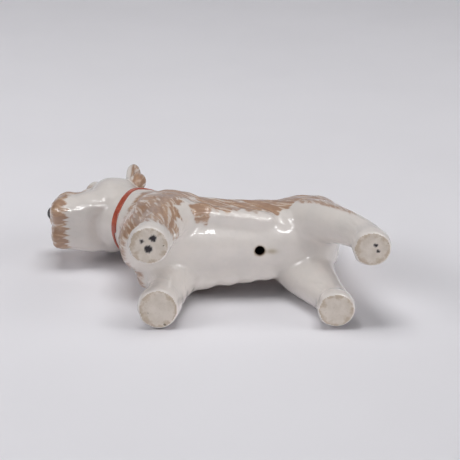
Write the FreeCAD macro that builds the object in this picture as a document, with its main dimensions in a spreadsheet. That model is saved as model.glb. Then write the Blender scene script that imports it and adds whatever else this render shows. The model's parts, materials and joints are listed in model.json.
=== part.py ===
"""A small glazed ceramic terrier that stands on four feet, modelled as the castings it is luted from.

Millimetres, +Z up. The dog looks along -Y and its left side is +X. The ground under its feet is Z = 0, and the
origin is the middle of the footprint of the whole figurine. Torso and head are hollow castings, open to each
other through the neck, with one vent in the belly. Legs, ears and tail are solid castings stuck on with slip,
so each is trimmed to the skin that it sits on. Collar, nose and eyes are raised enamel.
"""

import FreeCAD
import Part
import math
import os

from FreeCAD import Placement, Rotation, Vector

DOC = FreeCAD.newDocument("terrier")
SHEET = DOC.addObject("Spreadsheet::Sheet", "Dims")
UPRIGHT = 90.0  # pitch of a section that lies flat, so that its loft runs up a leg

# One driving dimension each, in millimetres or degrees.
SINGLE = {
    "wall": 2.6,
    "cap_gap": 2.6,
    "vent_radius": 1.5,
    "vent_back": 14.0,
    "vent_bottom": 12.0,
    "vent_top": 26.0,
    "collar_width": 1.8,
    "collar_stand": 0.55,
    "collar_seat": 0.4,
    "ear_side": 9.3,
    "ear_back": -27.6,
    "ear_middle": 64.2,
    "ear_half_thickness": 1.9,
    "ear_half_breadth": 3.5,
    "ear_half_length": 6.8,
    "ear_lean": 17.0,
    "nose_front": -49.0,
    "nose_middle": 53.2,
    "nose_half_width": 2.9,
    "nose_half_height": 2.3,
    "nose_half_length": 2.5,
    "eye_side": 5.0,
    "eye_front": -43.2,
    "eye_middle": 57.8,
    "eye_radius": 1.5,
}

# Each loft is a list of stations: (name, x, y, z, pitch, half across X, half across the other way).
TORSO = [
    ("tail_end", 0.0, 39.6, 34.4, 0.0, 3.0, 3.2),
    ("rump", 0.0, 37.2, 33.8, 0.0, 7.6, 8.2),
    ("hips", 0.0, 30.0, 32.6, 0.0, 11.0, 11.2),
    ("loin", 0.0, 17.0, 31.6, 0.0, 11.0, 11.3),
    ("belly", 0.0, 4.0, 31.0, 0.0, 11.8, 12.0),
    ("ribs", 0.0, -8.0, 30.8, 0.0, 13.2, 13.4),
    ("shoulders", 0.0, -18.0, 31.0, 0.0, 13.8, 14.3),
    ("forechest", 0.0, -26.2, 29.6, 0.0, 10.8, 10.8),
    ("chest_end", 0.0, -30.2, 29.2, 0.0, 4.4, 4.4),
]
NECK = [
    ("root", 0.0, -6.0, 32.0, 36.0, 10.2, 10.6),
    ("withers", 0.0, -11.0, 36.6, 35.0, 10.7, 11.6),
    ("middle", 0.0, -16.0, 40.9, 33.0, 10.6, 12.0),
    ("throat", 0.0, -20.6, 44.5, 31.0, 10.2, 11.8),
    ("ring", 0.0, -24.4, 47.4, 30.0, 9.7, 11.2),
]
SKULL = [
    ("nape", 0.0, -30.2, 51.2, 22.0, 10.7, 11.3),
    ("crown", 0.0, -36.0, 53.2, 10.0, 11.0, 11.2),
    ("brow", 0.0, -41.0, 53.6, 0.0, 9.2, 9.6),
    ("stop", 0.0, -44.0, 53.0, 0.0, 5.0, 5.2),
]
MUZZLE = [
    ("root", 0.0, -36.0, 49.2, 0.0, 8.6, 7.6),
    ("cheek", 0.0, -42.0, 48.0, 0.0, 8.6, 7.8),
    ("whiskers", 0.0, -47.4, 47.4, 0.0, 8.9, 7.7),
    ("lip", 0.0, -50.2, 47.4, 0.0, 7.6, 6.1),
    ("tip", 0.0, -51.2, 47.4, 0.0, 4.6, 3.4),
]
FRONT_LEG = [
    ("sole", 0.0, 0.0, 0.0, UPRIGHT, 5.9, 5.9),
    ("paw", 0.0, 0.1, 2.6, UPRIGHT, 6.4, 6.4),
    ("pastern", 0.0, 1.0, 7.6, UPRIGHT, 5.5, 5.6),
    ("forearm", -0.1, 2.4, 13.5, UPRIGHT, 5.3, 5.6),
    ("elbow", -0.4, 4.0, 20.5, UPRIGHT, 6.0, 7.8),
    ("shoulder", -1.2, 4.6, 29.0, UPRIGHT, 6.1, 9.5),
    ("top", -3.8, 4.6, 37.5, UPRIGHT, 3.9, 7.0),
]
HIND_LEG = [
    ("sole", 0.0, 0.0, 0.0, UPRIGHT, 5.1, 5.2),
    ("paw", 0.0, 0.0, 2.2, UPRIGHT, 5.5, 5.5),
    ("hock", 0.0, -1.6, 8.5, UPRIGHT, 4.9, 5.0),
    ("shank", -0.2, -6.0, 15.0, UPRIGHT, 5.4, 6.6),
    ("knee", -0.8, -11.5, 22.0, UPRIGHT, 6.2, 8.6),
    ("thigh", -1.8, -14.6, 29.5, UPRIGHT, 6.2, 9.2),
    ("top", -4.4, -16.0, 38.5, UPRIGHT, 3.6, 6.0),
]
TAIL = [
    ("root", 0.0, 33.6, 38.0, 78.0, 3.6, 3.8),
    ("middle", 0.0, 35.6, 48.0, 80.0, 3.0, 3.2),
    ("upper", 0.0, 36.6, 55.5, 84.0, 2.5, 2.6),
    ("tip", 0.0, 36.9, 59.2, 84.0, 1.2, 1.2),
]
# Where each foot stands: (x, y) of the middle of its sole.
FEET = {
    "front_left_leg": (9.7, -16.9),
    "front_right_leg": (-9.7, -14.6),
    "hind_left_leg": (8.7, 46.0),
    "hind_right_leg": (-10.0, 36.4),
}
# The hind right foot stands less far back than the left one, so its leg leans less.
LEAN = {
    "front_left_leg": 1.0,
    "front_right_leg": 0.85,
    "hind_left_leg": 1.0,
    "hind_right_leg": 0.62,
}
FIELDS = ("x", "y", "z", "pitch", "across", "deep")


def fill_sheet():
    """Writes every driving dimension to the sheet: its name in column A, its value and alias in column B."""
    values = dict(SINGLE)
    lofts = {"torso": TORSO, "neck": NECK, "skull": SKULL, "muzzle": MUZZLE, "tail": TAIL}
    lofts.update({"fore": FRONT_LEG, "rear": HIND_LEG})
    for loft, stations in lofts.items():
        for name, *numbers in stations:
            values.update({f"{loft}_{name}_{f}": v for f, v in zip(FIELDS, numbers)})
    for node, (x, y) in FEET.items():
        values[f"{node}_foot_x"] = x
        values[f"{node}_foot_y"] = y
        values[f"{node}_lean"] = LEAN[node]
    for row, (alias, value) in enumerate(values.items(), start=1):
        SHEET.set(f"A{row}", alias)
        SHEET.set(f"B{row}", str(value))
        SHEET.setAlias(f"B{row}", alias)
    DOC.recompute()


def cell(alias):
    return float(SHEET.get(alias))


def bind(thing, **links):
    """Binds properties to sheet expressions. A double underscore stands for the dot in a property's path."""
    for path, expression in links.items():
        thing.setExpression(path.replace("__", "."), expression)


def section(name, prefix, tall=True, shrink="0", foot=None, shift="0"):
    """One ellipse of a loft, across the loft's own direction. tall puts its long axis up the section."""
    pitch = math.radians(cell(f"{prefix}_pitch"))
    along = Vector(0, -math.cos(pitch), math.sin(pitch))
    up = Vector(0, math.sin(pitch), math.cos(pitch))
    across = Vector(1, 0, 0)
    turn = Rotation(up, across, along, "ZXY") if tall else Rotation(across, up, along, "ZXY")
    ring = DOC.addObject("Part::Ellipse", name)
    ring.Placement = Placement(Vector(), turn)
    long_way, short_way = ("deep", "across") if tall else ("across", "deep")
    middle_x, middle_y = f"Dims.{prefix}_x", f"Dims.{prefix}_y"
    if foot:
        side = 1 if cell(f"{foot}_foot_x") > 0 else -1
        middle_x = f"Dims.{foot}_foot_x + {side} * Dims.{prefix}_x"
        middle_y = f"Dims.{foot}_foot_y + Dims.{foot}_lean * Dims.{prefix}_y"
    bind(
        ring,
        MajorRadius=f"Dims.{prefix}_{long_way} - {shrink}",
        MinorRadius=f"Dims.{prefix}_{short_way} - {shrink}",
        Placement__Base__x=middle_x,
        Placement__Base__y=f"{middle_y} + {shift}",
        Placement__Base__z=f"Dims.{prefix}_z",
    )
    return ring


def loft(name, sections):
    body = DOC.addObject("Part::Loft", name)
    body.Sections = sections
    body.Solid = True
    body.Ruled = False
    return body


def boolean(kind, name, base, tool):
    """A Part::Cut or Part::Common of two objects, or a Part::Fuse of them."""
    made = DOC.addObject(f"Part::{kind}", name)
    made.Base = base
    made.Tool = tool
    return made


def ellipsoid(name, place, turn=None, **radii):
    """place is three sheet expressions; radii gives Radius1, along Z, Radius2, along X, and Radius3, along Y."""
    body = DOC.addObject("Part::Ellipsoid", name)
    body.Placement = Placement(Vector(), turn or Rotation())
    bind(
        body,
        Placement__Base__x=place[0],
        Placement__Base__y=place[1],
        Placement__Base__z=place[2],
        **radii,
    )
    return body


def make_torso():
    """The hollow body casting up to the collar's plane. Returns its plain outer skin and the casting."""
    barrel = loft("barrel", [section(f"barrel_{s[0]}", f"torso_{s[0]}") for s in TORSO])
    throat = loft("throat", [section(f"throat_{s[0]}", f"neck_{s[0]}") for s in NECK])
    skin = boolean("Fuse", "torso_skin", barrel, throat)
    inside = [s[0] for s in TORSO[1:-1]]
    shifts = {inside[0]: "-Dims.cap_gap", inside[-1]: "Dims.cap_gap"}
    hollow = loft(
        "barrel_hollow",
        [
            section(f"hollow_{s}", f"torso_{s}", shrink="Dims.wall", shift=shifts.get(s, "0"))
            for s in inside
        ],
    )
    passage = loft(
        "throat_hollow",
        [section(f"passage_{s[0]}", f"neck_{s[0]}", shrink="Dims.wall") for s in NECK],
    )
    cavity = boolean("Fuse", "torso_cavity", hollow, passage)
    shell = boolean("Cut", "torso_shell", skin, cavity)
    vent = DOC.addObject("Part::Cylinder", "vent")
    bind(
        vent,
        Radius="Dims.vent_radius",
        Height="Dims.vent_top - Dims.vent_bottom",
        Placement__Base__y="Dims.vent_back",
        Placement__Base__z="Dims.vent_bottom",
    )
    return skin, boolean("Cut", "vented_shell", shell, vent)


def make_head():
    """The hollow head casting from the collar's plane forward. Returns its plain outer skin and the casting."""
    rings = [section("head_ring", "neck_ring")]
    rings += [section(f"skull_{s[0]}", f"skull_{s[0]}") for s in SKULL]
    skull = loft("skull", rings)
    snout = loft("snout", [section(f"snout_{s[0]}", f"muzzle_{s[0]}", tall=False) for s in MUZZLE])
    skin = boolean("Fuse", "head_skin", skull, snout)
    inner = [section("head_ring_inside", "neck_ring", shrink="Dims.wall")]
    inner += [
        section(f"skull_{s}_inside", f"skull_{s}", shrink="Dims.wall") for s in ("nape", "crown")
    ]
    return skin, boolean("Cut", "head_shell", skin, loft("skull_hollow", inner))


def make_leg(node, stations, kind, skin):
    """A solid leg, trimmed where it would enter the torso."""
    rings = [section(f"{node}_{s[0]}", f"{kind}_{s[0]}", foot=node) for s in stations]
    return boolean("Cut", node, loft(f"{node}_casting", rings), skin)


def make_ear(node, side, skin):
    lean = Rotation(Vector(0, 1, 0), side * cell("ear_lean"))
    casting = ellipsoid(
        f"{node}_casting",
        (f"{side} * Dims.ear_side", "Dims.ear_back", "Dims.ear_middle"),
        lean,
        Radius1="Dims.ear_half_length",
        Radius2="Dims.ear_half_thickness",
        Radius3="Dims.ear_half_breadth",
    )
    return boolean("Cut", node, casting, skin)


def make_collar():
    """A band round the neck, half of it on each side of the plane where head and torso meet."""
    pitch = math.radians(cell("neck_ring_pitch"))
    along = Vector(0, -math.cos(pitch), math.sin(pitch))
    sides = []
    for name, shrink in (("collar_outside", "-Dims.collar_stand"), ("collar_inside", "Dims.collar_seat")):
        side = DOC.addObject("Part::Extrusion", name)
        side.Base = section(f"{name}_outline", "neck_ring", shrink=shrink)
        side.DirMode = "Custom"
        side.Dir = along
        side.Solid = True
        bind(side, LengthFwd="Dims.collar_width / 2", LengthRev="Dims.collar_width / 2")
        sides.append(side)
    return boolean("Cut", "collar", *sides)


def make_nose(skin):
    button = ellipsoid(
        "nose_button",
        ("0", "Dims.nose_front", "Dims.nose_middle"),
        Radius1="Dims.nose_half_height",
        Radius2="Dims.nose_half_width",
        Radius3="Dims.nose_half_length",
    )
    return boolean("Cut", "nose", button, skin)


def make_eye(node, side, skin):
    bead = DOC.addObject("Part::Sphere", f"{node}_bead")
    bind(
        bead,
        Radius="Dims.eye_radius",
        Placement__Base__x=f"{side} * Dims.eye_side",
        Placement__Base__y="Dims.eye_front",
        Placement__Base__z="Dims.eye_middle",
    )
    return boolean("Cut", node, bead, skin)


def build():
    """Makes every sub-part and returns them by node name."""
    torso_skin, torso = make_torso()
    head_skin, head = make_head()
    collar = make_collar()
    nodes = {
        "torso": boolean("Cut", "torso", torso, collar),
        "head": boolean("Cut", "head", head, collar),
        "collar": collar,
    }
    for end, stations, kind in (("front", FRONT_LEG, "fore"), ("hind", HIND_LEG, "rear")):
        for side in ("left", "right"):
            node = f"{end}_{side}_leg"
            nodes[node] = make_leg(node, stations, kind, torso_skin)
    rings = [section(f"tail_{s[0]}", f"tail_{s[0]}") for s in TAIL]
    nodes["tail"] = boolean("Cut", "tail", loft("tail_casting", rings), torso_skin)
    for name, side in (("left", 1), ("right", -1)):
        nodes[f"{name}_ear"] = make_ear(f"{name}_ear", side, head_skin)
        nodes[f"{name}_eye"] = make_eye(f"{name}_eye", side, head_skin)
    nodes["nose"] = make_nose(head_skin)
    DOC.recompute()
    return nodes


def check(nodes):
    """Stops if any object failed to compute or any sub-part isn't a valid solid."""
    for thing in DOC.Objects:
        if "Invalid" in thing.State or "Error" in thing.State:
            raise RuntimeError(f"{thing.Name} did not compute: {thing.State}")
    for node, thing in nodes.items():
        shape = thing.Shape
        if shape.isNull() or not shape.isValid() or not shape.Solids:
            raise RuntimeError(f"{node} is not a valid solid")
        box = shape.optimalBoundingBox()
        print(
            f"{node:16s} {len(shape.Solids)} solid(s) {shape.Volume:9.1f} mm3"
            f"  x {box.XMin:6.2f} {box.XMax:6.2f}  y {box.YMin:6.2f} {box.YMax:6.2f}"
            f"  z {box.ZMin:6.2f} {box.ZMax:6.2f}"
        )


def write(nodes):
    os.makedirs("parts", exist_ok=True)
    for node, thing in nodes.items():
        thing.Label = node
        thing.Shape.exportStep(f"parts/{node}.step")


fill_sheet()
NODES = build()
check(NODES)
write(NODES)
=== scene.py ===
"""A small glazed ceramic terrier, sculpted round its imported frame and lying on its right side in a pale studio.

Metres and the frame's own axes outside the sculpting, millimetres on the same axes inside it. The dog looks
along -Y and its left side is +X. Signed distances are negative inside the clay.
"""
import json
import math

import bpy
import numpy as np
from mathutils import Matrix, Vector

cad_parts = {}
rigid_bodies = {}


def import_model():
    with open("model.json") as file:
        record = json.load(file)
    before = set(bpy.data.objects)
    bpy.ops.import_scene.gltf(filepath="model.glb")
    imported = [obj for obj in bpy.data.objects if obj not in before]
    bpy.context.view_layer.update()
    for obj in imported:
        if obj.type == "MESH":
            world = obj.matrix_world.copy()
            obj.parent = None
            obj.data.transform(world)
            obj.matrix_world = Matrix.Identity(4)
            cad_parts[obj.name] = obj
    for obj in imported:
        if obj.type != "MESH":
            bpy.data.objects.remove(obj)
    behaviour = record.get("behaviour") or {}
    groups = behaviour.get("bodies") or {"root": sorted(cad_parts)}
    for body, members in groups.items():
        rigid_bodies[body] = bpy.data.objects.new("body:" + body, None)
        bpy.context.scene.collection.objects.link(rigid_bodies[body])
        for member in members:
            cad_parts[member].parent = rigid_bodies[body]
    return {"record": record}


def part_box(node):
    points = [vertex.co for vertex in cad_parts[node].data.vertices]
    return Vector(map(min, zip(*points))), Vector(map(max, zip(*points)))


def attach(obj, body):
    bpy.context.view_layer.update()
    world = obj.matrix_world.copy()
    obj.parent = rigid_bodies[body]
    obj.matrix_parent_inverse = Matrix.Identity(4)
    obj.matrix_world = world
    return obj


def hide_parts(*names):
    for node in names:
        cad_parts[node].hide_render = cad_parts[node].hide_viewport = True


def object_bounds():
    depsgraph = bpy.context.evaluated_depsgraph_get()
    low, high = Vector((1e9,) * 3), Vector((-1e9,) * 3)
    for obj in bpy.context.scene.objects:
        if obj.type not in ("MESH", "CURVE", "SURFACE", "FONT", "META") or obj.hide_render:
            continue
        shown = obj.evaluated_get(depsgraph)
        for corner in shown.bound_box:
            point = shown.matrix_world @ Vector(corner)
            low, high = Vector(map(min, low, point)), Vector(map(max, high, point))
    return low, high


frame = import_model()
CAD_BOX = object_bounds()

import openvdb as vdb
from mathutils import Euler, Matrix, Vector

MM = 0.001
GRID = 0.32  # spacing of the sculpting grid
FAR = 4.0  # distances are cut off here
RNG = np.random.default_rng(5)


# ---------------------------------------------------------------- places taken from the frame

def span(node):
    """Lowest and highest corner of a frame node in millimetres."""
    low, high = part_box(node)
    return np.array(low) / MM, np.array(high) / MM


SOLES = {m["name"].replace("_sole", "_leg"): np.array(m["pos_m"]) / MM for m in frame["record"]["mounts"]}
RUMP_END = span("torso")[1][1]
MUZZLE_END = span("head")[0][1]
VENT_Y = RUMP_END - 25.2
VENT_RADIUS = 1.4
COLLAR_MIDDLE = sum(span("collar")) / 2
COLLAR_PITCH = math.radians(30.0)
COLLAR_ALONG = np.array((0.0, -math.cos(COLLAR_PITCH), math.sin(COLLAR_PITCH)))
COLLAR_UP = np.array((0.0, math.sin(COLLAR_PITCH), math.cos(COLLAR_PITCH)))
COLLAR_SWEEP = 4.6  # how far the collar lies back at the nape
FEET_ACROSS, FEET_ALONG = -0.7, -0.3  # where the sculpted feet stand from the frame's mounts
FRONT_RIGHT_WIDER = 1.06
SOLE_OUTLINE_LEVEL = 2.8  # the height at which a foot's outline is measured
CAST_MARGIN = 1.5
SIDES = {"left": 1, "right": -1}


# ---------------------------------------------------------------- forms: functions that give a distance

def smooth_min(a, b, blend):
    """The nearer of two distances, with the corner between them rounded over about blend."""
    width = 1.5 * blend
    share = np.clip(1 - np.abs(a - b) / width, 0, 1)
    return np.minimum(a, b) - share**3 * width / 6


def smooth_max(a, b, blend):
    return -smooth_min(-a, -b, blend)


def ramp(value, start, end):
    """0 before start, 1 after end, and a soft rise between."""
    t = np.clip((value - start) / (end - start), 0, 1)
    return t * t * (3 - 2 * t)


def turned(pitch=0.0, lean=0.0, yaw=0.0):
    """Rotation about X, then Y, then Z, in degrees."""
    return np.array(Euler([math.radians(a) for a in (pitch, lean, yaw)]).to_matrix())


class Form:
    """A distance function of x, y, z together with the box that it fills."""

    def __init__(self, distance, low, high):
        self.distance = distance
        self.low, self.high = np.array(low, float), np.array(high, float)

    def at(self, points):
        return self.distance(points[:, 0], points[:, 1], points[:, 2])


def lump(middle, radii, turn=None):
    """An ellipsoid."""
    cx, cy, cz = middle
    rx, ry, rz = radii

    def distance(x, y, z):
        x, y, z = x - cx, y - cy, z - cz
        if turn is not None:
            x, y, z = (turn[0][i] * x + turn[1][i] * y + turn[2][i] * z for i in range(3))
        near = np.sqrt((x / rx) ** 2 + (y / ry) ** 2 + (z / rz) ** 2)
        rate = np.sqrt((x / rx**2) ** 2 + (y / ry**2) ** 2 + (z / rz**2) ** 2)
        return near * (near - 1) / np.maximum(rate, 1e-4)

    reach = np.full(3, max(radii)) if turn is not None else np.array(radii, float)
    return Form(distance, np.array(middle) - reach, np.array(middle) + reach)


def limb(points, radii, squeeze=1.0):
    """Round cones from point to point. squeeze is how wide they are across X for their height."""
    points, radii = np.array(points, float), np.array(radii, float)

    def distance(x, y, z):
        x = x / squeeze
        best = None
        for (ax, ay, az), (bx, by, bz), ra, rb in zip(points, points[1:], radii, radii[1:]):
            ax, bx = ax / squeeze, bx / squeeze
            ux, uy, uz = bx - ax, by - ay, bz - az
            t = ((x - ax) * ux + (y - ay) * uy + (z - az) * uz) / (ux**2 + uy**2 + uz**2)
            t = np.clip(t, 0, 1)
            away = np.sqrt((x - ax - t * ux) ** 2 + (y - ay - t * uy) ** 2 + (z - az - t * uz) ** 2)
            away = away - (ra + t * (rb - ra))
            best = away if best is None else smooth_min(best, away, 0.8)
        return best

    reach = radii[:, None]
    return Form(distance, (points - reach).min(0), (points + reach).max(0))


def between(t, stations, values):
    """Values between stations, on a smooth curve through them."""
    stations, values = np.array(stations, float), np.array(values, float)
    slopes = np.gradient(values, stations)
    i = np.clip(np.searchsorted(stations, t) - 1, 0, len(stations) - 2)
    gap = stations[i + 1] - stations[i]
    s = np.clip((t - stations[i]) / gap, 0, 1)
    keep, lead = (1 + 2 * s) * (1 - s) ** 2, s * (1 - s) ** 2
    return (
        keep * values[i]
        + lead * gap * slopes[i]
        + (1 - keep) * values[i + 1]
        - s**2 * (1 - s) * gap * slopes[i + 1]
    )


def loft(axis, stations, round_end=2.0):
    """Ellipses along Y or Z. A station is its place on the axis, the ellipse's middle, then its half sizes."""
    stations = sorted(stations)
    along, middle_u, middle_v, half_u, half_v = zip(*stations)

    def distance(x, y, z):
        t, u, v = (y, x, z) if axis == "y" else (z, x, y)
        ru, rv = between(t, along, half_u), between(t, along, half_v)
        du, dv = u - between(t, along, middle_u), v - between(t, along, middle_v)
        near = np.sqrt((du / ru) ** 2 + (dv / rv) ** 2)
        rate = np.sqrt((du / ru**2) ** 2 + (dv / rv**2) ** 2)
        side = near * (near - 1) / np.maximum(rate, 1e-4)
        slope = (between(t + 0.5, along, half_v) - between(t - 0.5, along, half_v)).clip(-1.5, 1.5)
        side = side / np.sqrt(1 + slope**2)
        return smooth_max(side, np.maximum(along[0] - t, t - along[-1]), round_end)

    low = (min(middle_u) - max(half_u), along[0], min(middle_v) - max(half_v))
    high = (max(middle_u) + max(half_u), along[-1], max(middle_v) + max(half_v))
    if axis == "z":
        low, high = (low[0], low[2], low[1]), (high[0], high[2], high[1])
    return Form(distance, low, high)


def block(middle, half, corner):
    """A box with well rounded corners."""
    cx, cy, cz = middle

    def distance(x, y, z):
        ax, ay, az = (np.abs(v - c) - h + corner for v, c, h in zip((x, y, z), (cx, cy, cz), half))
        outside = np.sqrt(np.maximum(ax, 0) ** 2 + np.maximum(ay, 0) ** 2 + np.maximum(az, 0) ** 2)
        return outside + np.minimum(np.maximum(np.maximum(ax, ay), az), 0) - corner

    return Form(distance, np.array(middle) - half, np.array(middle) + half)


def together(parts):
    """One form from (form, blend) pairs. Where blend is negative the form is cut away."""

    def distance(x, y, z):
        made = parts[0][0].distance(x, y, z)
        for form, blend in parts[1:]:
            other = form.distance(x, y, z)
            made = smooth_min(made, other, blend) if blend > 0 else smooth_max(made, -other, -blend)
        return made

    solid = [form for form, blend in parts if blend > 0]
    return Form(distance, np.min([f.low for f in solid], 0), np.max([f.high for f in solid], 0))


def mirrored(middle, radii, blend, turn_by=None):
    """A lump on each side of the dog."""
    pairs = []
    for side in SIDES.values():
        x, y, z = middle
        turn = None
        if turn_by:
            pitch, lean, yaw = turn_by
            turn = turned(pitch, side * lean, side * yaw)
        pairs.append((lump((side * x, y, z), radii, turn), blend))
    return pairs


# ---------------------------------------------------------------- the dog

def make_trunk():
    """Barrel, neck and head in one: they are parted later, at the collar."""
    back = RUMP_END
    barrel = loft(
        "y",
        [
            (back, 0, 34.2, 3.0, 3.2),
            (back - 2.6, 0, 33.6, 7.8, 8.3),
            (back - 9.6, 0, 32.5, 11.0, 11.2),
            (back - 22.6, 0, 31.7, 11.4, 11.8),
            (back - 35.6, 0, 31.0, 11.8, 12.1),
            (back - 47.6, 0, 30.8, 13.0, 13.4),
            (back - 56.0, 0, 31.0, 13.0, 14.2),
            (back - 62.4, 0, 30.4, 9.2, 12.0),
            (back - 66.4, 0, 30.0, 4.6, 8.0),
            (back - 68.0, 0, 30.0, 2.2, 3.6),
        ],
        2.6,
    )
    cy, cz = COLLAR_MIDDLE[1:]
    neck = limb(
        [(0, cy + 18.0, cz - 14.6), (0, cy + 8.4, cz - 6.5), (0, cy, cz), (0, cy - 6.4, cz + 4.2)],
        [10.8, 12.0, 11.2, 11.0],
        0.88,
    )
    tip = MUZZLE_END
    parts = [(barrel, 1.0), (neck, 3.0)]
    parts += mirrored((8.4, back - 52.0, 31.0), (5.8, 8.4, 9.6), 3.0, (12, 0, 0))
    parts += mirrored((2.6, back - 61.0, 25.6), (4.2, 4.8, 7.6), 2.6)
    parts += mirrored((10.4, back - 58.8, 27.5), (3.6, 3.4, 7.5), 2.4)
    parts += mirrored((6.4, back - 9.5, 34.5), (5.2, 8.4, 8.0), 3.0)
    # Coat that hangs along the lower flanks, in tufts.
    for behind, across, height, size in (
        (49.5, 10.6, 23.4, 3.3), (42.5, 10.5, 23.4, 3.0), (36.0, 9.6, 23.6, 2.6), (30.5, 8.8, 23.8, 2.4),
        (25.0, 8.2, 23.8, 2.3),
    ):
        parts += mirrored((across, back - behind, height), (size, 4.2, size), 2.6, (-14, 0, -10))
    # Skull, cheeks, brows, bridge and the square bearded muzzle.
    parts += [
        (lump((0, tip + 18.8, 53.8), (11.4, 7.8, 10.4)), 2.6),
        (block((0, tip + 8.9, 46.9), (8.7, 8.0, 6.9), 5.5), 2.2),
        (limb([(0, tip + 15.0, 54.8), (0, tip + 3.6, 51.3)], [5.8, 4.0], 0.95), 2.4),
    ]
    parts += mirrored((6.5, tip + 19.4, 50.0), (4.8, 5.0, 6.6), 2.0)
    parts += mirrored((5.9, tip + 14.0, 45.8), (3.6, 5.4, 4.8), 2.4)
    parts.append((lump((0, tip + 22.4, 54.6), (10.7, 6.0, 9.8)), 2.0))
    parts += mirrored((3.9, tip + 11.4, 55.8), (3.2, 3.2, 2.8), 1.8)
    parts += mirrored((5.4, tip + 13.2, 59.2), (3.4, 2.6, 2.4), 1.6, (24, 0, 16))
    parts += mirrored((4.4, tip + 7.6, 56.8), (1.8, 1.3, 1.6), -0.9)
    parts += mirrored((4.3, tip + 3.4, 43.2), (3.2, 2.2, 3.4), 2.0, (-8, 0, 0))
    parts.append((limb([(0, tip + 0.6, 48.5), (0, tip + 0.9, 40.0)], [0.5, 0.7]), -1.0))
    return together(parts)


FRONT_LEG = [
    (0.0, 0.0, 0.0, 5.6, 5.6),
    (2.4, 0.0, 0.1, 5.9, 5.9),
    (7.6, 0.0, 1.0, 5.5, 5.6),
    (13.5, -0.1, 2.4, 5.4, 5.8),
    (20.5, -0.5, 4.0, 5.9, 7.6),
    (27.5, -1.3, 4.6, 5.9, 8.8),
    (32.5, -2.7, 4.6, 4.4, 7.0),
    (36.0, -3.8, 4.6, 1.8, 3.0),
]
HIND_LEG = [
    (0.0, 0.0, 0.0, 5.1, 5.2),
    (2.2, 0.0, 0.0, 5.35, 5.4),
    (8.5, 0.5, -1.6, 4.4, 5.1),
    (15.0, 0.3, -6.0, 5.0, 6.7),
    (22.0, -0.8, -11.4, 6.1, 8.5),
    (29.0, -1.8, -14.4, 6.1, 9.1),
    (34.5, -3.2, -15.5, 4.4, 7.0),
    (38.0, -4.4, -16.0, 1.8, 3.0),
]


def make_leg(name):
    """A leg on its sole, which the frame's mount gives. A foot set less far out gets a leg that leans less."""
    end, side_name = name.split("_")[:2]
    side = SIDES[side_name]
    fx, fy, _ = SOLES[name]
    table, shaggy = (FRONT_LEG, 5.2) if end == "front" else (HIND_LEG, 4.6)
    lean = {"front": 0.85, "hind": 0.62}[end] if side < 0 else 1.0
    fx, fy = fx + FEET_ACROSS, fy + FEET_ALONG
    wide = FRONT_RIGHT_WIDER if name == "front_right_leg" else 1.0
    column = loft(
        "z",
        [
            (z, fx + side * x - FEET_ACROSS * ramp(z, 4, 22), fy + lean * y, rx * (1 + (wide - 1) * (z < 12)), ry)
            for z, x, y, rx, ry in table
        ],
        1.0,
    )
    parts = [(column, 1.0)]
    # Shaggy hair on the back of the leg, and toes hinted at in front.
    for height, behind, out in ((5.0, 0.72, 1.0), (10.5, 0.75, 1.5), (16.5, 0.8, 2.0)):
        lift = np.interp(height, [s[0] for s in table], [s[2] for s in table]) * lean
        tuft = lump((fx, fy + lift + shaggy * behind, height), (2.6, 2.2, 3.8), turned(-14))
        parts.append((tuft, 1.6))
    for toe in (-1, 0, 1):
        parts.append((lump((fx + toe * 2.7, fy - shaggy * 0.8 + abs(toe) * 0.9, 2.0), (1.5, 1.6, 1.9)), 1.2))
    return together(parts)


def make_tail():
    low, high = span("tail")
    top = high[2]
    root, bend = (0, low[1] + 1.8, low[2] - 3.6), (0, low[1] + 3.8, 48.0)
    upper, end = (0, high[1] - 2.7, 54.6), (0, high[1] - 1.9, top - 2.2)
    return limb([root, bend, upper, end], [3.9, 3.3, 2.7, 1.9])


def make_ear(side):
    """An upright ear, hollowed where it faces forward and outward."""
    low, high = span("left_ear")
    x, y, z = side * (low[0] + high[0]) / 2, (low[1] + high[1]) / 2, (low[2] + high[2]) / 2
    turn = turned(0, side * 15, side * -24)
    facing = turn @ np.array((side, 0.0, 0.0))
    return together(
        [
            (lump((x, y + 1.9, z - 0.3), (1.8, 2.5, 6.5), turn), 1.0),
            (lump((x - side * 1.1, y + 2.9, z - 4.6), (2.6, 3.5, 3.6), turn), 2.0),
            (lump(np.array((x, y + 1.6, z)) + 2.2 * facing, (1.4, 1.5, 4.5), turn), -0.9),
        ]
    )


def make_hollow():
    """What is cut out of the cast body: a chamber, and the vent that leads to it through the belly."""
    back = RUMP_END
    chamber = loft(
        "y",
        [
            (back - 20.0, 0, 31.5, 1.5, 2.4),
            (back - 23.0, 0, 31.4, 5.2, 7.6),
            (back - 36.0, 0, 31.0, 6.2, 9.3),
            (back - 48.0, 0, 31.0, 5.6, 8.4),
            (back - 52.0, 0, 31.0, 1.5, 2.6),
        ],
    )
    vent = limb([(0, VENT_Y, 12.0), (0, VENT_Y, 28.0)], [VENT_RADIUS, VENT_RADIUS])
    return together([(chamber, 1.0), (vent, 0.4)])


# ---------------------------------------------------------------- clay: forms on a grid, and the mesh of it

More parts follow.
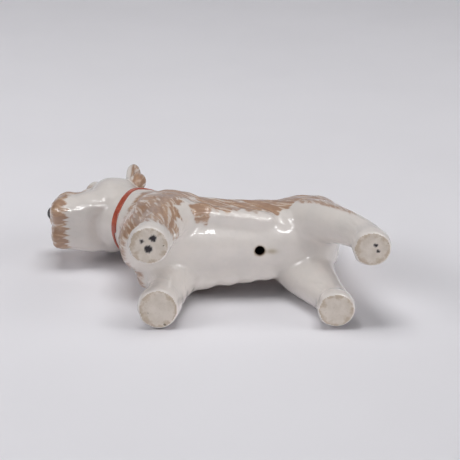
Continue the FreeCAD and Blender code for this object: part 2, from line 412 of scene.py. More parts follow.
class Clay:
    """A grid of distances that forms are pressed into, each only near its own box."""

    def __init__(self, low, high, step):
        self.low, self.step = np.array(low, float), step
        self.shape = tuple(int(n) for n in np.ceil((np.array(high) - self.low) / step) + 1)
        self.value = np.full(self.shape, FAR, np.float32)

    def window(self, form, margin):
        start = np.floor((form.low - margin - self.low) / self.step).astype(int).clip(0)
        stop = (np.ceil((form.high + margin - self.low) / self.step).astype(int) + 1).clip(0, self.shape)
        x, y, z = (
            (self.low[i] + self.step * np.arange(start[i], stop[i], dtype=np.float32)) for i in range(3)
        )
        where = tuple(slice(a, b) for a, b in zip(start, stop))
        return where, (x[:, None, None], y[None, :, None], z[None, None, :])

    def add(self, form, blend):
        where, axes = self.window(form, blend + 1.5)
        self.value[where] = smooth_min(self.value[where], form.distance(*axes), blend)

    def cut(self, form, blend):
        where, axes = self.window(form, blend + 1.5)
        self.value[where] = smooth_max(self.value[where], -form.distance(*axes), blend)

    def mesh(self):
        """Points in millimetres and faces of four corners, turned outward."""
        grid = vdb.FloatGrid(FAR)
        grid.copyFromArray(np.clip(self.value, -FAR, FAR).astype(np.float32))
        points, quads = grid.convertToQuads(isovalue=0.0)
        return self.low + self.step * points.astype(float), quads.astype(np.int64)


def point_normals(points, faces):
    """Unit normals of the points, from the faces round them."""
    a, b, c, d = (points[faces[:, i]] for i in range(4))
    flat = np.cross(c - a, d - b)
    normals = np.zeros_like(points)
    for corner in range(4):
        np.add.at(normals, faces[:, corner], flat)
    return normals / np.linalg.norm(normals, axis=1, keepdims=True).clip(1e-9)


def relax(points, faces, rounds):
    """Evens the mesh out, each point towards the middle of its neighbours and back by a little less."""
    pairs = np.concatenate([faces[:, [i, (i + 1) % 4]] for i in range(4)])
    count = np.bincount(pairs[:, 0], minlength=len(points)) + np.bincount(pairs[:, 1], minlength=len(points))
    for strength in [0.5, -0.52] * rounds:
        total = np.zeros_like(points)
        for axis in range(3):
            total[:, axis] = np.bincount(pairs[:, 0], points[pairs[:, 1], axis], len(points))
            total[:, axis] += np.bincount(pairs[:, 1], points[pairs[:, 0], axis], len(points))
        points = points + strength * (total / count[:, None] - points)
    return points


# ---------------------------------------------------------------- the whole dog as one skin

PIECES = ["torso", "head"] + list(SOLES) + ["tail", "left_ear", "right_ear"]
trunk = make_trunk()
appendages = {name: make_leg(name) for name in SOLES}
appendages["tail"] = make_tail()
appendages.update({f"{name}_ear": make_ear(side) for name, side in SIDES.items()})
hollow = make_hollow()

frame_low, frame_high = np.array(CAD_BOX[0]) / MM, np.array(CAD_BOX[1]) / MM
clay = Clay(frame_low - 2.5, frame_high + 2.5, GRID)
clay.add(trunk, 1.0)
for name, form in appendages.items():
    clay.add(form, {"tail": 2.6, "left_ear": 1.4, "right_ear": 1.4}.get(name, 2.8))
clay.cut(hollow, 0.5)
ground = Form(lambda x, y, z: z + 0 * x + 0 * y, frame_low - 3, (frame_high[0] + 3, frame_high[1] + 3, 1.0))
clay.cut(ground, 0.7)
skin, skin_faces = clay.mesh()
skin = relax(skin, skin_faces, 3)
normals = point_normals(skin, skin_faces)


def ahead_of_collar(points):
    return (points - COLLAR_MIDDLE) @ COLLAR_ALONG


def owners(points):
    """Which piece each point belongs to: the appendage whose own form is nearer than the trunk's, or the trunk."""
    owner = np.where(ahead_of_collar(points) > 0, PIECES.index("head"), PIECES.index("torso"))
    nearest = trunk.at(points)
    for name, form in appendages.items():
        away = form.at(points)
        owner[away < nearest] = PIECES.index(name)
        nearest = np.minimum(away, nearest)
    owner[hollow.at(points) < 0.8] = PIECES.index("torso")
    return owner


def snap_joints(points, faces, face_owner):
    """Moves the points where pieces meet onto the even line between them, so that joints don't follow the grid."""
    low_owner = np.full(len(points), len(PIECES))
    high_owner = np.full(len(points), -1)
    for corner in range(4):
        np.minimum.at(low_owner, faces[:, corner], face_owner)
        np.maximum.at(high_owner, faces[:, corner], face_owner)
    for name in PIECES[1:]:
        number = PIECES.index(name)
        chosen = np.flatnonzero((low_owner <= 1) & (high_owner == number) & (low_owner != number))
        if name == "head":
            gap = ahead_of_collar
        else:
            gap = lambda p, form=appendages[name]: form.at(p) - trunk.at(p)  # noqa: E731
        for _ in range(2):
            here = gap(points[chosen])
            rate = np.stack([(gap(points[chosen] + e) - here) / 0.05 for e in np.eye(3) * 0.05], 1)
            rate -= normals[chosen] * (rate * normals[chosen]).sum(1, keepdims=True)
            step = -here[:, None] * rate / (rate**2).sum(1, keepdims=True).clip(0.05)
            points[chosen] += step.clip(-0.5 * GRID, 0.5 * GRID)


face_owner = owners(skin[skin_faces].mean(1))
snap_joints(skin, skin_faces, face_owner)
owner = owners(skin)
x, y, z = skin.T
on = {name: owner == i for i, name in enumerate(PIECES)}
on_leg = np.any([on[name] for name in SOLES], axis=0)
on_ear = on["left_ear"] | on["right_ear"]
behind_tip = y - MUZZLE_END
to_collar = ahead_of_collar(skin)
inside = hollow.at(skin) < 0.6


# ---------------------------------------------------------------- hair: which way it lies, and locks of it

def hair_lie():
    """Unit directions along the skin in which the coat is combed."""
    lie = np.zeros_like(skin)
    lie[:] = (0.0, 1.0, -0.42)
    lie[z > 37] = (0.0, 1.0, -0.08)
    chest = ramp(-y, 17, 24) * ramp(-z, -38, -33) * on["torso"]
    lie += chest[:, None] * (np.array((0.0, 0.3, -1.6)) - lie)
    lie[on_leg] = (0.0, 0.35, -1.0)
    lie[on["head"]] = (0.0, 1.0, 0.12)
    muzzle = ramp(-behind_tip, -15, -9) * on["head"]
    lie += muzzle[:, None] * (np.array((0.0, 1.0, -0.45)) - lie)
    lie[on["tail"] | on_ear] = (0.0, 0.15, 1.0)
    lie -= normals * (lie * normals).sum(1, keepdims=True)
    return lie / np.linalg.norm(lie, axis=1, keepdims=True).clip(1e-6)


lie = hair_lie()
order = np.argsort(skin[:, 1])
sorted_y = skin[order, 1]


def strokes(weight, count, length, width, strength, jitter, gather):
    """Lays tapering strokes along the hair at random places, more where weight is high, and adds them up."""
    field = np.zeros(len(skin))
    chosen = RNG.choice(len(skin), size=count, p=weight / weight.sum())
    sizes = RNG.uniform(0.7, 1.3, size=(count, 2))
    turns = RNG.normal(0, jitter, size=count)
    for seed, (long, wide), angle, force in zip(chosen, sizes, turns, strength(count)):
        reach, half = length * long, width * wide
        first, last = np.searchsorted(sorted_y, (skin[seed, 1] - reach, skin[seed, 1] + reach))
        near = order[first:last]
        away = skin[near] - skin[seed]
        close = np.abs(away).max(1) < reach
        near, away = near[close], away[close]
        sideways = np.cross(normals[seed], lie[seed])
        heading = math.cos(angle) * lie[seed] + math.sin(angle) * sideways
        across = away @ np.cross(normals[seed], heading) / half
        along = away @ heading / reach
        shape = np.exp(-(across**2) * (1.2 + 0.8 * along)) * np.cos(along.clip(-1, 1) * math.pi / 2) ** 0.7
        shape *= np.exp(-((away @ normals[seed]) ** 2))
        gather(field, near, force * shape)
    return field


def pile_up(field, near, amount):
    field[near] = np.maximum(field[near], amount)


def cover(field, near, amount):
    field[near] += (1 - field[near]) * amount


def tally(field, near, amount):
    field[near] += amount


def path_distance(points, path):
    """How far each point is from a line of points."""
    path = np.array(path, float)
    return limb(path, np.zeros(len(path))).at(points)


round_body = np.degrees(np.arctan2(z - 31.0, np.abs(x)))  # below 0 under the widest line of the barrel
belly = on["torso"] * ramp(-round_body, 38, 58) * ramp(-z, -30, -24)
thigh = (on["hind_left_leg"] | on["hind_right_leg"]) * ramp(z, 10, 16)
tuft_height = np.select(
    [on["torso"], on_leg, on["head"], on["tail"]],
    [
        0.34 - 0.32 * belly,
        0.2 - 0.17 * thigh,
        0.07 + 0.22 * ramp(-behind_tip, -13, -7),
        np.full(len(skin), 0.2),
    ],
    0.05,
)
tuft_height = tuft_height * ramp(np.abs(to_collar), 1.2, 3.4) * ramp(z, 0.3, 1.8) * ~inside
some = np.where(inside | (z < 0.2), 0.0, 1.0)
locks = strokes(some, 1700, 4.2, 1.15, lambda n: RNG.uniform(0.4, 1.0, n), 0.22, pile_up)
hairs = strokes(some, 7000, 2.6, 0.42, lambda n: RNG.uniform(0.3, 1.0, n), 0.16, pile_up)
relief = tuft_height * (locks - 0.45) + 0.35 * tuft_height * (hairs - 0.4)


# ---------------------------------------------------------------- the mouth, eyes and painted marks

def face_paths():
    """The mouth: a split under the nose, and a line that runs back along each side of the muzzle."""
    tip = MUZZLE_END
    lines = [[(0, tip - 0.2, 51.5), (0, tip, 46.4)]]
    for side in SIDES.values():
        corners = [(0, tip, 46.4), (3.2, tip + 0.2, 44.9), (6.9, tip + 2.2, 44.7), (8.7, tip + 6.4, 45.9)]
        lines.append([(side * a, b, c) for a, b, c in corners])
    return lines


mouth = np.min([path_distance(skin, path) for path in face_paths()], 0)
mouth_line = np.exp(-((mouth / 0.42) ** 2)) * on["head"]
relief -= 0.42 * mouth_line
EYES = {name: np.array((side * 4.3, MUZZLE_END + 8.9, 56.7)) for name, side in SIDES.items()}
to_eye = np.min([np.linalg.norm((skin - e) * (1, 0.6, 1), axis=1) for e in EYES.values()], 0)
lids = np.exp(-(((to_eye - 1.75) / 0.42) ** 2)) * on["head"]
relief += 0.22 * lids


def tan_zones():
    """How likely the brush was to put tan on each point."""
    scallop = 3.5 * np.sin(y * 0.9) + 3.0 * np.sin(y * 2.1 + 1.0)
    edge = np.interp(y, [-5.5, -2, 0.5, 4, 9, 15, 22, 27, 30, 40], [-52, -51, -42, -40, -33, -32, -26, -15, -8, 0])
    edge = edge + 24 * (x < 0)
    front = -6.5 + 0.9 * np.sin(1.3 * z + 2)
    saddle = ramp(round_body, edge + scallop - 4, edge + scallop + 7) * ramp(y, front, front + 2)
    bare_patch = np.exp(-(((y - 26.5) / 1.6) ** 2 + ((round_body + 16) / 9) ** 2))
    bare_fleck = np.exp(-(((y - 9) / 1.3) ** 2 + ((round_body - 2) / 6) ** 2))
    saddle *= 1 - 0.9 * bare_patch - 0.8 * bare_fleck
    withers = ramp(round_body, 20, 42) * ramp(-y, 1, 4) * ramp(-to_collar, 3.0, 5.5)
    # The shoulder's rear edge is ragged, and meets the saddle higher up.
    rear = 3.6 + 5.0 * ramp(-round_body, -5, 40) + 0.9 * np.sin(1.1 * z) + 0.6 * np.sin(2.7 * z + 1)
    shoulder = ramp(y, -25, -21) * ramp(-y, rear, rear + 2) * ramp(round_body, -80, -68) * ramp(-to_collar, 3.5, 6.0)
    shoulder *= ramp(z, 2.5, 6) * ramp(np.abs(x), 6.5, 8.5) * np.where(x < 0, ramp(z, 30, 34), 1)
    torso = np.maximum(saddle, 0.95 * withers) * on["torso"]
    front_leg = on["front_left_leg"] | on["front_right_leg"]
    torso = np.maximum(torso, 0.9 * shoulder * (on["torso"] | front_leg))
    chest = ramp(-y, 17.5, 22) * ramp(-to_collar, 1.9, 3.2) * ramp(-round_body, 12, 24) * ramp(z, 18.0, 21)
    torso = np.maximum(torso, 0.8 * chest * on["torso"])
    either_side = np.column_stack((np.abs(x), y, z))
    # A broad stroke from the croup down the outside of the thigh.
    down_thigh = [(5.2, 26.8, 37.9), (9.6, 32.6, 37.4), (13.2, 33.2, 31.3), (11.5, 41.3, 15.2)]
    hip = ramp(-limb(down_thigh, [4.5, 7.0, 7.7, 2.4]).at(either_side), -0.8, 0.8)
    croup = hip * ramp(y, 24, 27) * (on["hind_left_leg"] | on["hind_right_leg"] | on["torso"])
    jagged = 0.8 * np.sin(3.1 * x + 0.7 * z) + 0.6 * np.sin(5.3 * x - 2.9 * z)
    muzzle = ramp(-behind_tip, -7.2 - jagged, -4.6 - jagged)
    # A stroke back along the upper side of the muzzle.
    cheek = [(8.8, MUZZLE_END + 3.5, 49.5), (9.4, MUZZLE_END + 12.5, 48.5)]
    top_edge = np.maximum(ramp(z, 49.8, 52.4), 0.8 * ramp(-path_distance(either_side, cheek), -3.2, -1.8))
    bridge = ramp(-behind_tip, -14.0 - jagged, -9.5) * top_edge
    head = np.maximum(muzzle, 0.85 * bridge) * on["head"]
    crown = 0.55 * ramp(z, 60.2, 63) * ramp(behind_tip, 12, 16) * on["head"]
    ear = 0.8 * ramp(y, -27.4, -25.6) * on_ear
    tail = 0.8 * ramp(-z, -53, -47) * on["tail"]
    return np.maximum.reduce([torso, 0.85 * croup, head, crown, ear, tail]) * ~inside


zones = tan_zones()
brushed = strokes(zones + 1e-9, 6000, 2.3, 0.3, lambda n: RNG.uniform(0.12, 0.5, n), 0.26, cover)
grain = strokes(some, 9000, 2.4, 0.24, lambda n: RNG.normal(0, 0.5, n), 0.12, tally)
solid = 0.55 + 0.2 * on["head"]
tan = (solid * zones + 0.7 * brushed * np.clip(0.3 + zones, 0, 1)).clip(0, 1)

from_vent = np.hypot(x, y - VENT_Y)
smear = np.exp(-(((y - VENT_Y - 3.6) / 1.7) ** 2 + ((x + 0.2) / 0.8) ** 2)) * ramp(-z, -24, -21)
marks = {
    "tan": tan,
    "grain": grain,
    "umber": (0.75 * mouth_line * ramp(-behind_tip, -9, -2) + 0.8 * lids).clip(0, 1),
    "stain": (0.8 * smear * on["torso"] + 0.6 * np.exp(-((from_vent - 1.6) / 0.35) ** 2) * belly).clip(0, 1),
    # Painted shade: the walls of the chamber and vent are coloured dark brown, where little light reaches.
    "hollow_painted_shade": ramp(-hollow.at(skin), -0.35, 0.1),
}
skin = skin + normals * relief[:, None]
normals = point_normals(skin, skin_faces)


# ---------------------------------------------------------------- materials

class Nodes:
    """A material's node tree, with one call per node."""

    def __init__(self, name):
        self.material = bpy.data.materials.new(name)
        self.material.use_nodes = True
        self.tree = self.material.node_tree
        self.tree.nodes.clear()

    def make(self, kind, **settings):
        node = self.tree.nodes.new(kind)
        for key, value in settings.items():
            setattr(node, key, value)
        return node

    def put(self, socket, value):
        if isinstance(value, bpy.types.NodeSocket):
            self.tree.links.new(value, socket)
        elif isinstance(value, tuple) and len(value) == 3 and socket.type == "RGBA":
            socket.default_value = (*value, 1.0)
        else:
            socket.default_value = value

    def mark(self, name):
        return self.make("ShaderNodeAttribute", attribute_name=name, attribute_type="GEOMETRY").outputs["Fac"]

    def noise(self, size_mm, detail=3.0, rough=0.55, stretch=(1, 1, 1), seed=0.0):
        """Noise whose features are about size_mm across."""
        place = self.make("ShaderNodeMapping")
        self.put(place.inputs["Vector"], self.make("ShaderNodeTexCoord").outputs["Object"])
        self.put(place.inputs["Scale"], tuple(1 / (MM * size_mm * s) for s in stretch))
        self.put(place.inputs["Location"], (seed, seed * 0.7, -seed))
        made = self.make("ShaderNodeTexNoise")
        self.put(made.inputs["Vector"], place.outputs["Vector"])
        self.put(made.inputs["Scale"], 1.0)
        self.put(made.inputs["Detail"], detail)
        self.put(made.inputs["Roughness"], rough)
        return made.outputs["Fac"]

    def maths(self, how, *values):
        node = self.make("ShaderNodeMath", operation=how)
        for socket, value in zip(node.inputs, values):
            self.put(socket, value)
        return node.outputs["Value"]

    def spread(self, value, start, end, low=0.0, high=1.0):
        """value from start to end becomes low to high, with soft ends."""
        node = self.make("ShaderNodeMapRange", interpolation_type="SMOOTHSTEP")
        for name, v in (("Value", value), ("From Min", start), ("From Max", end), ("To Min", low), ("To Max", high)):
            self.put(node.inputs[name], v)
        return node.outputs["Result"]

    def mix(self, share, a, b, how="MIX"):
        node = self.make("ShaderNodeMix", data_type="RGBA", blend_type=how)
        self.put(node.inputs["Factor"], share)
        self.put(node.inputs[6], a)
        self.put(node.inputs[7], b)
        return node.outputs[2]

    def bump(self, height, strength, depth_mm, under=None):
        node = self.make("ShaderNodeBump")
        self.put(node.inputs["Strength"], strength)
        self.put(node.inputs["Distance"], depth_mm * MM)
        self.put(node.inputs["Height"], height)
        if under:
            self.put(node.inputs["Normal"], under)
        return node.outputs["Normal"]

    def finish(self, **sockets):
        shader = self.make("ShaderNodeBsdfPrincipled")
        for name, value in sockets.items():
            self.put(shader.inputs[name.replace("_", " ")], value)
        self.put(self.make("ShaderNodeOutputMaterial").inputs["Surface"], shader.outputs["BSDF"])
        return self.material


def glaze_material():
    """Clear gloss glaze over a milky body, with tan brushwork, umber lines and fired-in stains under it, and painted
    shade inside the hollow.
    """
    n = Nodes("glaze")
    broad, fine = n.noise(9, 3), n.noise(1.3, 4, 0.6, seed=3.0)
    body = n.mix(n.spread(broad, 0.35, 0.65), (0.82, 0.76, 0.72), (0.77, 0.72, 0.685))
    body = n.mix(n.spread(fine, 0.55, 0.8, 0, 0.22), body, (0.62, 0.60, 0.55))
    grain = n.spread(n.mark("grain"), -0.9, 0.9)
    bristle = n.noise(0.5, 2, seed=9.0)
    streak = n.maths("ADD", n.maths("MULTIPLY", grain, 0.75), n.maths("MULTIPLY", bristle, 0.35))
    thin = n.maths("MULTIPLY", n.mark("tan"), n.spread(streak, 0.28, 0.62, 0.45, 1.15))
    wash = n.mix(n.spread(streak, 0.35, 0.75), (0.53, 0.33, 0.20), (0.37, 0.205, 0.12))
    colour = n.mix(n.spread(thin, 0.04, 0.74, 0.0, 0.92), body, wash)
    colour = n.mix(n.mark("stain"), colour, (0.42, 0.34, 0.22))
    colour = n.mix(n.mark("umber"), colour, (0.075, 0.042, 0.03))
    # Painted shade inside the hollow: its walls take a dark brown instead of the bare clay's colour.
    colour = n.mix(n.mark("hollow_painted_shade"), colour, (0.10, 0.035, 0.015))
    skin_height = n.maths("ADD", n.noise(2.2, 2, seed=5.0), n.maths("MULTIPLY", n.noise(0.5, 2, seed=6.0), 0.14))
    return n.finish(
        Base_Color=colour,
        Roughness=n.spread(fine, 0.3, 0.7, 0.30, 0.40),
        IOR=1.5,
        Coat_Weight=0.9,
        Coat_Roughness=0.03,
        Normal=n.bump(skin_height, 0.5, 0.1),
        Coat_Normal=n.bump(skin_height, 0.45, 0.1),
    )


def bisque_material():
    """The bare soles: rough cream clay, toasted and grimed towards the edge, with a few pits and specks."""
    n = Nodes("bisque")
    broad, fine = n.noise(3.5, 4), n.noise(0.6, 5, 0.7, seed=2.0)
    colour = n.mix(n.spread(broad, 0.35, 0.68), (0.73, 0.655, 0.59), (0.64, 0.565, 0.495))
    rim = n.maths("ADD", n.mark("depth"), n.spread(n.noise(2.2, 3, seed=4.0), 0.3, 0.7, -1.0, 0.9))
    colour = n.mix(n.spread(rim, 2.0, 0.5, 0, 0.62), colour, (0.44, 0.33, 0.225))
    colour = n.mix(n.spread(fine, 0.58, 0.74, 0, 0.4), colour, (0.36, 0.30, 0.235))
    specks = n.spread(n.noise(1.7, 2, 0.4, seed=7.3), 0.725, 0.755)
    colour = n.mix(n.maths("MULTIPLY", specks, 0.85), colour, (0.11, 0.075, 0.04))
    colour = n.mix(n.mark("dab"), colour, (0.022, 0.016, 0.022))
    relief_height = n.maths("ADD", fine, n.maths("MULTIPLY", broad, 1.5))
    return n.finish(
        Base_Color=colour, Roughness=n.spread(fine, 0.3, 0.7, 0.7, 0.9), Normal=n.bump(relief_height, 0.6, 0.12)
    )


def enamel_material(name, deep, light, rough):
    """Thick glossy enamel put on with a brush, so its colour thins in streaks."""
    n = Nodes(name)
    streak = n.noise(0.9, 3, 0.6, (2.6, 1, 1))
    broad = n.noise(4.0, 2, seed=1.5)
    shade = n.maths("ADD", n.maths("MULTIPLY", streak, 0.6), n.maths("MULTIPLY", broad, 0.4))
    colour = n.mix(n.spread(shade, 0.38, 0.66), deep, light)
    return n.finish(
        Base_Color=colour,
        Roughness=n.spread(streak, 0.3, 0.7, rough, rough + 0.12),
        Coat_Weight=0.8,
        Coat_Roughness=0.05,
        Normal=n.bump(streak, 0.35, 0.07),
        Coat_Normal=n.bump(streak, 0.25, 0.05),
    )


GLAZE, BISQUE = glaze_material(), bisque_material()
RED = enamel_material("red_enamel", (0.42, 0.075, 0.042), (0.60, 0.155, 0.09), 0.28)
BLACK = enamel_material("black_enamel", (0.008, 0.007, 0.010), (0.020, 0.016, 0.018), 0.3)


# ---------------------------------------------------------------- pieces

def write_mesh(name, points, faces, corner_normals, materials, face_material=None, marks_here=None):
    """Makes an object of points in millimetres, with its shading normals and its painted marks."""
    mesh = bpy.data.meshes.new(name)
    mesh.from_pydata((points * MM).tolist(), [], faces)
    mesh.polygons.foreach_set("use_smooth", np.ones(len(faces), bool))
    for material in materials:
        mesh.materials.append(material)
    if face_material is not None:
        mesh.polygons.foreach_set("material_index", np.asarray(face_material, np.int32))
    for mark_name, values in (marks_here or {}).items():
        attribute = mesh.attributes.new(mark_name, "FLOAT", "POINT")
        attribute.data.foreach_set("value", np.asarray(values, np.float32))
    mesh.normals_split_custom_set(corner_normals)
    mesh.validate()
    piece = bpy.data.objects.new(name, mesh)
    bpy.context.scene.collection.objects.link(piece)
    return piece


def open_loops(faces):
    """The rims of a patch of faces, each a list of points in the order that a cap needs."""
    edges = {(a, b) for face in faces for a, b in zip(face, face[1:] + face[:1])}
    onward = {}
    for a, b in edges:
        if (b, a) not in edges:
            onward.setdefault(b, []).append(a)
    loops = []
    while onward:
        start = next(iter(onward))
        loop, here = [], start
        while here in onward:
            loop.append(here)
            after = onward[here].pop()
            if not onward[here]:
                del onward[here]
            here = after
        loops.append(loop)
    return loops


def cut_piece(name, marks_all, material_of_face):
    """One piece of the skin, closed where it meets its neighbours by a cap that lies inside the body."""
    chosen = np.flatnonzero(face_owner == PIECES.index(name))
    used, faces = np.unique(skin_faces[chosen], return_inverse=True)
    faces = faces.reshape(-1, 4).tolist()
    points, turned_out = skin[used], normals[used]
    corner_normals = [turned_out[v] for face in faces for v in face]
    face_material = list(material_of_face[chosen])
    marks_here = {key: values[used] for key, values in marks_all.items()}
    for loop in open_loops(faces):
        middle = points[loop].mean(0)
        hub = len(points)
        points = np.vstack([points, middle])
        for key in marks_here:
            marks_here[key] = np.append(marks_here[key], 0.0)
        for a, b in zip(loop, loop[1:] + loop[:1]):
            faces.append([a, b, hub])
            flat = np.cross(points[b] - points[a], middle - points[a])
            corner_normals += [flat / max(np.linalg.norm(flat), 1e-9)] * 3
            face_material.append(0)
    piece = write_mesh(name, points, faces, corner_normals, [GLAZE, BISQUE], face_material, marks_here)
    finish_piece(piece, name)


def finish_piece(piece, node):
    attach(piece, "root")
    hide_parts(node)


def sole_marks():
    """How far in from its foot's outline each sole point is, and the decorator's dots on the left soles."""
    depth, dab = np.zeros(len(skin)), np.zeros(len(skin))
    level = np.column_stack([x, y, np.full(len(skin), SOLE_OUTLINE_LEVEL)])
    dots = {
        "front_left_leg": [(-1.6, -0.4, 1.15), (1.5, 0.9, 0.95), (0.6, -2.3, 0.6)],
        "hind_left_leg": [(0.4, 0.5, 0.55), (-1.3, 1.2, 0.45)],
    }
    for name in SOLES:
        here = on[name]
        depth[here] = -appendages[name].at(level[here])
        for dx, dy, size in dots.get(name, []):
            fx, fy, _ = SOLES[name]
            ragged = 0.12 * np.sin(4.0 * x + 2.0 * y) + 0.1 * np.sin(7.0 * y - 3.0 * x)
            away = np.hypot(x - fx - dx, y - fy - dy) + ragged
            dab = np.maximum(dab, ramp(-away, -size - 0.16, -size + 0.16) * here)
    return depth, dab


marks["depth"], marks["dab"] = sole_marks()
face_z = skin[skin_faces, 2].max(1)
face_depth = marks["depth"][skin_faces].mean(1)
face_x, face_y = skin[skin_faces].mean(1)[:, :2].T
ragged_edge = 0.5 + 0.15 * np.sin(1.3 * face_x + 0.8 * face_y) + 0.1 * np.sin(2.9 * face_y - face_x)
bare_face = ((face_z < 0.35) & (face_depth > ragged_edge)).astype(int)
for name in PIECES:
    cut_piece(name, marks, bare_face)


def cast(name, node, material, forms, step):
    """A small piece of its own, such as the nose, meshed finely from its own forms."""
    form = together(forms)
    small = Clay(form.low - CAST_MARGIN, form.high + CAST_MARGIN, step)
    small.add(form, 1.0)
    points, faces = small.mesh()
    points = relax(points, faces, 2)
    turned_out = point_normals(points, faces)
    faces = faces.tolist()
    corner_normals = [turned_out[v] for face in faces for v in face]
    piece = write_mesh(name, points, faces, corner_normals, [material])
    finish_piece(piece, node)


def make_collar():
    """A raised stripe of red round the neck. It was brushed on in two strokes that meet under the throat."""
    neck = trunk.distance

    def distance(x, y, z):
        cy, cz = COLLAR_MIDDLE[1:]
        along = (y - cy) * COLLAR_ALONG[1] + (z - cz) * COLLAR_ALONG[2]
        up = (y - cy) * COLLAR_UP[1] + (z - cz) * COLLAR_UP[2]
        round_neck = np.degrees(np.arctan2(x + 0 * up, -up + 0 * x))  # 0 under the throat, 90 at the left
        right_stroke = ramp(-round_neck, 1, 5) * ramp(round_neck, -178, -170)
        half = 0.92 + 0.1 * np.sin(np.radians(round_neck * 3)) - 0.36 * right_stroke
        half = half - 0.3 * ramp(np.abs(round_neck), 118, 150)
        middle = 0.32 * right_stroke + 0.12 * np.sin(np.radians(round_neck * 5 + 40))
        middle = middle - COLLAR_SWEEP * ramp(np.abs(round_neck), 84, 150)
        depth = neck(x, y, z)
        band = smooth_max(np.abs(along - middle) - half, np.abs(depth - 0.05) - 0.3, 0.3)
        return np.maximum(band, -depth - 1.2)

    low, high = span("collar")
    return Form(distance, low - 0.6, high + (0.6, 5.6, 1.0))


cast("collar", "collar", RED, [(make_collar(), 0.2)], 0.2)
nose_low, nose_high = span("nose")
nose_middle = np.array((0.0, nose_low[1] + 1.0, (nose_low[2] + nose_high[2]) / 2 - 0.6))
nostrils = [(lump(nose_middle + (side * 1.35, -1.9, -0.2), (0.5, 0.8, 0.4)), -0.25) for side in SIDES.values()]
cast(
    "nose", "nose", BLACK,
    [
        (lump(nose_middle, (2.5, 2.2, 1.75)), 1.0),
        (lump(nose_middle + (0, 0.4, 0.7), (2.0, 2.2, 1.4)), 0.8),
        (limb([nose_middle + (0, -2.5, 0.4), nose_middle + (0, -2.2, -1.9)], [0.16, 0.2]), -0.2),
    ] + nostrils,
    0.12,
)
for side_name, middle in EYES.items():
    side = SIDES[side_name]
    cast(
        f"{side_name}_eye", f"{side_name}_eye", BLACK,
        [
            (lump(middle, (1.45, 1.35, 1.4)), 1.0),
            (lump(middle + (side * 1.1, 0.5, -0.4), (0.8, 0.8, 0.6)), 0.5),
        ],
        0.12,
    )


# ---------------------------------------------------------------- studio

TILT = math.radians(3.6)  # the dog lies on its right feet and flank, its back a little lower than its soles
STAGE_UP = Vector((math.cos(TILT), 0, -math.sin(TILT)))
STAGE_FRONT = Vector((-math.sin(TILT), 0, -math.cos(TILT)))  # level, towards the camera
STAGE_RIGHT = Vector((0, 1, 0))
TURN = math.radians(20.0)  # how far the camera stands round from straight under the soles, towards the left flank
TO_CAMERA = Vector((math.sin(TURN), 0, -math.cos(TURN)))
CAMERA_UP = Vector((math.cos(TURN), 0, math.sin(TURN)))
AIM = Vector((0, 5.6, 38.0)) * MM
CAMERA_DISTANCE = 0.42
CAMERA_LENS = 106.4

floor_level = min(float((skin @ np.array(STAGE_UP)).min()) * MM, 0)
STAGE_ORIGIN = STAGE_UP * floor_level + Vector((0, AIM.y, 0)) - STAGE_FRONT * (AIM.z * 0.8)


def staged(right, front, up):
    """A place in the studio, in metres from the floor under the dog."""
    return STAGE_ORIGIN + STAGE_RIGHT * right + STAGE_FRONT * front + STAGE_UP * up


def paper_material():
    """Matt paper that is clear from behind, so that it doesn't hide the dog in views from under the floor."""
    n = Nodes("paper")
    tone = n.mix(n.spread(n.noise(60, 2), 0.3, 0.7), (0.775, 0.765, 0.80), (0.79, 0.78, 0.815))
    matt = n.make("ShaderNodeBsdfDiffuse")
    n.put(matt.inputs["Color"], tone)
    clear = n.make("ShaderNodeBsdfTransparent")
    either = n.make("ShaderNodeMixShader")
    n.put(either.inputs[0], n.make("ShaderNodeNewGeometry").outputs["Backfacing"])
    n.put(either.inputs[1], matt.outputs["BSDF"])
    n.put(either.inputs[2], clear.outputs["BSDF"])
    n.put(n.make("ShaderNodeOutputMaterial").inputs["Surface"], either.outputs["Shader"])
    return n.material


def make_sweep():
    """Floor paper that curves up behind the dog."""
    reach, bend = 0.55, 0.35
    profile = [(1.2, 0.0), (0.3, 0.0), (0.0, 0.0), (-reach, 0.0)]
    for i in range(1, 13):
        a = math.radians(90 * i / 12)
        profile.append((-reach - bend * math.sin(a), bend * (1 - math.cos(a))))
    profile.append((-reach - bend, 1.3))
    points = [staged(side, f, u) for side in (-1.4, 1.4) for f, u in profile]
    n = len(profile)
    faces = [(i, i + 1, n + i + 1, n + i) for i in range(n - 1)]
    mesh = bpy.data.meshes.new("paper_sweep")
    mesh.from_pydata(points, [], faces)
    mesh.polygons.foreach_set("use_smooth", [True] * len(faces))
    mesh.materials.append(paper_material())
    sweep = bpy.data.objects.new("paper_sweep", mesh)
    bpy.context.scene.collection.objects.link(sweep)
    if mesh.polygons[0].normal.dot(STAGE_UP) < 0:
        mesh.flip_normals()
    sweep.visible_shadow = False


def lamp(name, place, towards, size, power, wide_along=STAGE_RIGHT):
    """A rectangular soft light, with its long side along wide_along."""
    data = bpy.data.lights.new(name, "AREA")
    data.shape, data.size, data.size_y = "RECTANGLE", *size
    data.energy = power
    light = bpy.data.objects.new(name, data)
    bpy.context.scene.collection.objects.link(light)
    back = (place - towards).normalized()
    across = (wide_along - back * wide_along.dot(back)).normalized()
    light.matrix_world = Matrix.Translation(place) @ Matrix((across, back.cross(across), back)).transposed().to_4x4()
    return light


make_sweep()
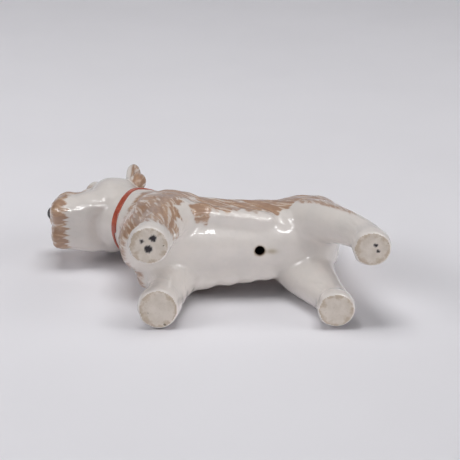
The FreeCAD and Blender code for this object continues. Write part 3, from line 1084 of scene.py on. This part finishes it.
# Some lamps light only the paper and some only the dog, by light linking. Real lamps can't be parted like this.
paper_only, dog_only = (bpy.data.collections.new(name) for name in ("paper_only", "dog_only"))
for thing in bpy.context.scene.objects:
    if thing.type == "MESH":
        (paper_only if thing.name == "paper_sweep" else dog_only).objects.link(thing)
DOG, FLOOR = staged(0, 0, 0.02), staged(0, 0, 0)
SOFT_LAMPS = (
    ("overhead_paper", staged(0.0, -0.05, 0.75), FLOOR, (0.55, 0.3), 3.1, paper_only),
    ("head_side_paper", staged(-0.7, 0.15, 0.45), FLOOR, (0.4, 0.4), 3.1, paper_only),
    ("tail_side_paper", staged(0.7, 0.15, 0.45), FLOOR, (0.4, 0.4), 1.5, paper_only),
    ("overhead_dog", staged(0.0, -0.05, 0.75), DOG, (0.8, 0.6), 3.7, dog_only),
    ("head_side_dog", staged(-0.7, 0.15, 0.45), DOG, (0.4, 0.4), 1.35, dog_only),
    ("tail_side_dog", staged(0.7, 0.15, 0.45), DOG, (0.4, 0.4), 0.5, dog_only),
    ("front_dog", staged(-0.1, 1.1, 0.3), DOG, (1.0, 0.3), 0.95, dog_only),
    ("front_right_dog", staged(0.7, 0.8, 0.3), DOG, (0.5, 0.3), 3.2, dog_only),
    ("flank_dog", Vector((-0.75, 0.45, 0.35)), AIM, (0.5, 0.5), 0.25, dog_only),
)
for name, place, towards, size, power, receivers in SOFT_LAMPS:
    light = lamp(name, place, towards, size, power)
    light.visible_glossy = False
    light.light_linking.receiver_collection = receivers
# Thin tubes that only show as streaks in the glaze.
TUBE_WIDTH, TUBE_WATTS_PER_METRE = 0.05, 3.2
TUBES = (
    (0.10, 0.62, 0.52, 1.3, STAGE_RIGHT),
    (0.25, 0.16, 0.80, 0.5, STAGE_RIGHT),
    (0.42, 0.75, 0.36, 0.4, STAGE_UP),
    (-0.45, 0.50, 0.60, 0.3, STAGE_RIGHT),
)
for number, (right, front, up, length, along) in enumerate(TUBES):
    size = (length, TUBE_WIDTH)
    tube = lamp(f"tube_{number}", staged(right, front, up), DOG, size, TUBE_WATTS_PER_METRE * length, along)
    tube.visible_diffuse = False

world = bpy.data.worlds.new("studio")
bpy.context.scene.world = world
world.use_nodes = True
sky = world.node_tree.nodes["Background"]
sky.inputs["Color"].default_value = (0.62, 0.62, 0.65, 1)
seen = world.node_tree.nodes.new("ShaderNodeLightPath").outputs["Is Camera Ray"]
WORLD_AS_LIGHT, WORLD_AS_SEEN = 0.04, 0.9
dimmer = world.node_tree.nodes.new("ShaderNodeMapRange")  # faint as a light, pale where the camera sees it
dimmer.inputs["To Min"].default_value, dimmer.inputs["To Max"].default_value = WORLD_AS_LIGHT, WORLD_AS_SEEN
world.node_tree.links.new(seen, dimmer.inputs["Value"])
world.node_tree.links.new(dimmer.outputs["Result"], sky.inputs["Strength"])

camera_data = bpy.data.cameras.new("camera")
camera_data.lens = CAMERA_LENS
camera = bpy.data.objects.new("camera", camera_data)
bpy.context.scene.collection.objects.link(camera)
camera.matrix_world = (
    Matrix.Translation(AIM + TO_CAMERA * CAMERA_DISTANCE)
    @ Matrix((Vector((0, 1, 0)), CAMERA_UP, TO_CAMERA)).transposed().to_4x4()
)
camera_data.clip_start, camera_data.clip_end = 0.01, 10
bpy.context.scene.camera = camera
bpy.context.scene.view_settings.view_transform = "Standard"
